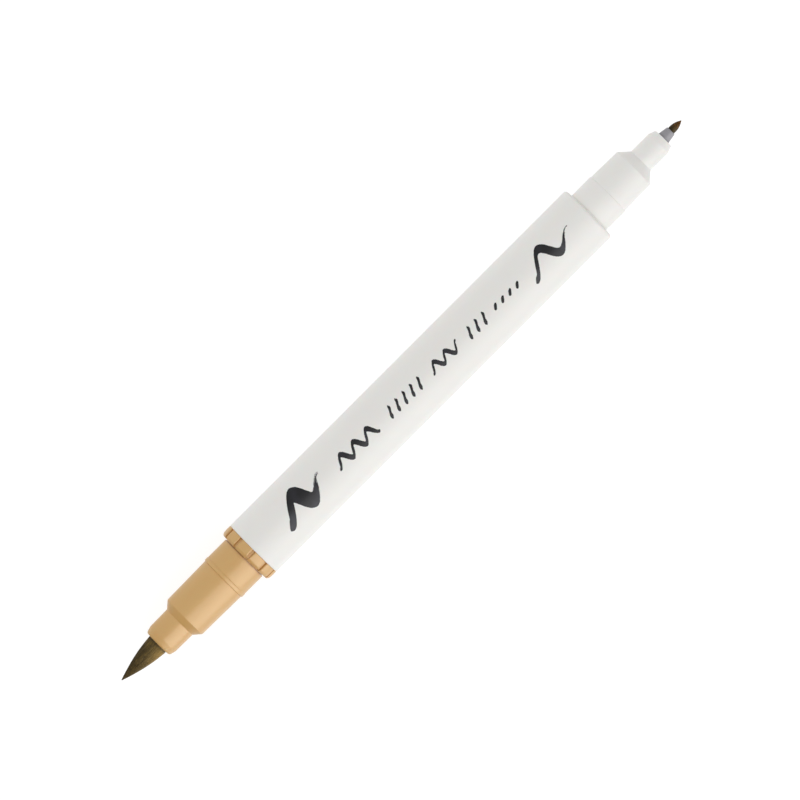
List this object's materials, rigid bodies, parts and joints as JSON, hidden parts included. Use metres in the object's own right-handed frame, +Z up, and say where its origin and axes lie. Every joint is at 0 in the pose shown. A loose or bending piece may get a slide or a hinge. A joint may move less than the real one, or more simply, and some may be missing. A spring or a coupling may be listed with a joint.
{
  "type": "twin-tip calligraphy marker",
  "caption": "Uncapped double-ended marker: a filament brush tuft on a stepped nose with a castellated collar at one end, a fine fibre nib at the other.",
  "frame": {"origin": "on the surface under the barrel, half way between the two tips", "axes": "+X along the pen towards the fine nib, -X towards the brush tuft, +Z up"},
  "size_m": [0.1438, 0.0118, 0.0118],
  "materials": {
    "white_plastic": "smooth white moulded polypropylene, satin gloss",
    "tan_plastic": "smooth tan moulded polypropylene, satin gloss",
    "grey_plastic": "cool grey moulded plastic, semi-matte",
    "natural_plastic": "unpigmented milky plastic",
    "filament": "fine nylon filaments stained by dark brown ink",
    "relay_fibre": "porous bonded fibre soaked with brown ink",
    "reservoir_fibre": "bonded polyester fibre soaked with brown ink",
    "clear_film": "thin clear plastic film",
    "nib_fibre": "hard bonded fibre stained nearly black brown, lighter orange brown at the point",
    "print_ink": "thin dark ink printed on the barrel"
  },
  "bodies": {
    "pen": {"barrel": "white_plastic", "brush_section": "tan_plastic", "tuft_root": "filament", "tuft_holder": "natural_plastic", "brush_relay": "relay_fibre", "relay_guide": "natural_plastic", "reservoir_core": "reservoir_fibre", "reservoir_film": "clear_film", "fine_section": "white_plastic", "nib_holder": "grey_plastic", "fine_nib": "nib_fibre", "fine_relay": "relay_fibre"},
    "tuft_belly": {"tuft_belly": "filament"},
    "tuft_point": {"tuft_point": "filament"}
  },
  "joints": [
    {"name": "tuft_bend_sideways", "type": "hinge", "parent": "pen", "child": "tuft_belly", "pos_m": [-0.06385, 0, 0.0059], "axis": [0, 0, 1], "range_deg": [-25, 25], "stiffness_Nm_per_rad": 0.002},
    {"name": "tuft_bend_up_down", "type": "hinge", "parent": "tuft_belly", "child": "tuft_point", "pos_m": [-0.06745, 0, 0.0059], "axis": [0, 1, 0], "range_deg": [-35, 35], "stiffness_Nm_per_rad": 0.0008}
  ]
}
